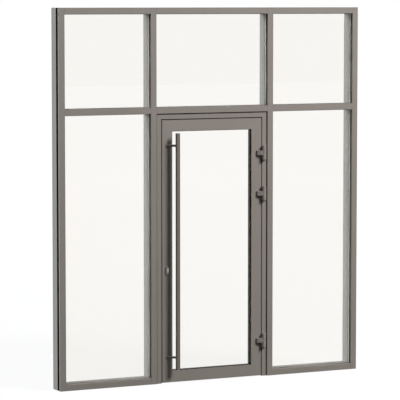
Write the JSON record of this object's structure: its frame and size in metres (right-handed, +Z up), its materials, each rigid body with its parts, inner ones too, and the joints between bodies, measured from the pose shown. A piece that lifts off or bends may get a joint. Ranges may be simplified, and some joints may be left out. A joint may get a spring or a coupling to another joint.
{
  "type": "glass door with frame",
  "caption": "Glazed aluminium screen with a glass door in its middle bay: the leaf swings outward on barrel hinges, with full height pull bars and a deadbolt lock.",
  "frame": {"origin": "on the floor, midway between the outer posts' foot anchor holes, at the middle of the boxes' depth", "axes": "+X to the right seen from outside, +Y inwards through the door, +Z up"},
  "size_m": [2.66, 0.216, 3],
  "materials": {
    "powder_coated_aluminium": "warm grey powder coat, fine satin texture",
    "mill_aluminium": "bare extruded aluminium",
    "clear_glass": "clear float glass in sealed double units",
    "spacer_bar": "satin spacer bar",
    "black_rubber": "black rubber gasket, matt",
    "black_plastic": "black plastic, matt",
    "lock_steel": "satin nickel plated steel"
  },
  "bodies": {
    "frame": {"left_post": "powder_coated_aluminium", "left_mullion": "powder_coated_aluminium", "right_mullion": "powder_coated_aluminium", "right_post": "powder_coated_aluminium", "head_rails": "powder_coated_aluminium", "transoms": "powder_coated_aluminium", "sills": "powder_coated_aluminium", "rail_connectors": "mill_aluminium", "anchor_plates": "mill_aluminium", "insulator_strips": "black_plastic", "pressure_plates": "mill_aluminium", "left_post_cap": "powder_coated_aluminium", "left_mullion_cap": "powder_coated_aluminium", "right_mullion_cap": "powder_coated_aluminium", "right_post_cap": "powder_coated_aluminium", "head_caps": "powder_coated_aluminium", "transom_caps": "powder_coated_aluminium", "sill_caps": "powder_coated_aluminium", "upper_left_glass": "clear_glass", "upper_centre_glass": "clear_glass", "upper_right_glass": "clear_glass", "left_side_glass": "clear_glass", "right_side_glass": "clear_glass", "glass_spacers": "spacer_bar", "outer_gaskets": "black_rubber", "inner_gaskets": "black_rubber", "setting_blocks": "black_plastic", "door_jamb_lock": "powder_coated_aluminium", "door_jamb_hinge": "powder_coated_aluminium", "door_head": "powder_coated_aluminium", "door_stops": "powder_coated_aluminium", "door_frame_seal": "black_rubber", "door_stop_seal": "black_rubber", "strike_plate": "lock_steel", "lower_hinge_frame": "powder_coated_aluminium", "middle_hinge_frame": "powder_coated_aluminium", "upper_hinge_frame": "powder_coated_aluminium", "hinge_pins": "lock_steel"},
    "leaf": {"leaf_stile_lock": "powder_coated_aluminium", "leaf_stile_hinge": "powder_coated_aluminium", "leaf_rail_top": "powder_coated_aluminium", "leaf_rail_bottom": "powder_coated_aluminium", "leaf_glass": "clear_glass", "leaf_glass_spacer": "black_plastic", "leaf_gaskets": "black_rubber", "leaf_glazing_beads": "black_plastic", "leaf_bottom_brush": "black_rubber", "lower_hinge_leaf": "powder_coated_aluminium", "middle_hinge_leaf": "powder_coated_aluminium", "upper_hinge_leaf": "powder_coated_aluminium", "hinge_bushes": "black_plastic", "outer_pull_bar": "powder_coated_aluminium", "inner_pull_bar": "powder_coated_aluminium", "pull_posts": "powder_coated_aluminium", "pull_bolts": "lock_steel", "lock_case": "lock_steel", "lock_cylinder": "lock_steel", "escutcheons": "powder_coated_aluminium"},
    "key_plug": {"key_plug": "lock_steel"},
    "deadbolt": {"deadbolt": "lock_steel"}
  },
  "joints": [
    {"name": "door_swing", "type": "hinge", "parent": "frame", "child": "leaf", "pos_m": [0.456, -0.113, 0], "axis": [0, 0, 1], "range_deg": [0, 110]},
    {"name": "key_turn", "type": "hinge", "parent": "leaf", "child": "key_plug", "pos_m": [-0.3985, -0.063, 0.917], "axis": [0, 1, 0], "range_deg": [0, 360]},
    {"name": "bolt_slide", "type": "slide", "parent": "leaf", "child": "deadbolt", "axis": [-1, 0, 0], "range_m": [0, 0.02]}
  ],
  "couplings": [
    {"joint": "key_turn", "follows": "bolt_slide", "rad_per_m": 314.16}
  ]
}
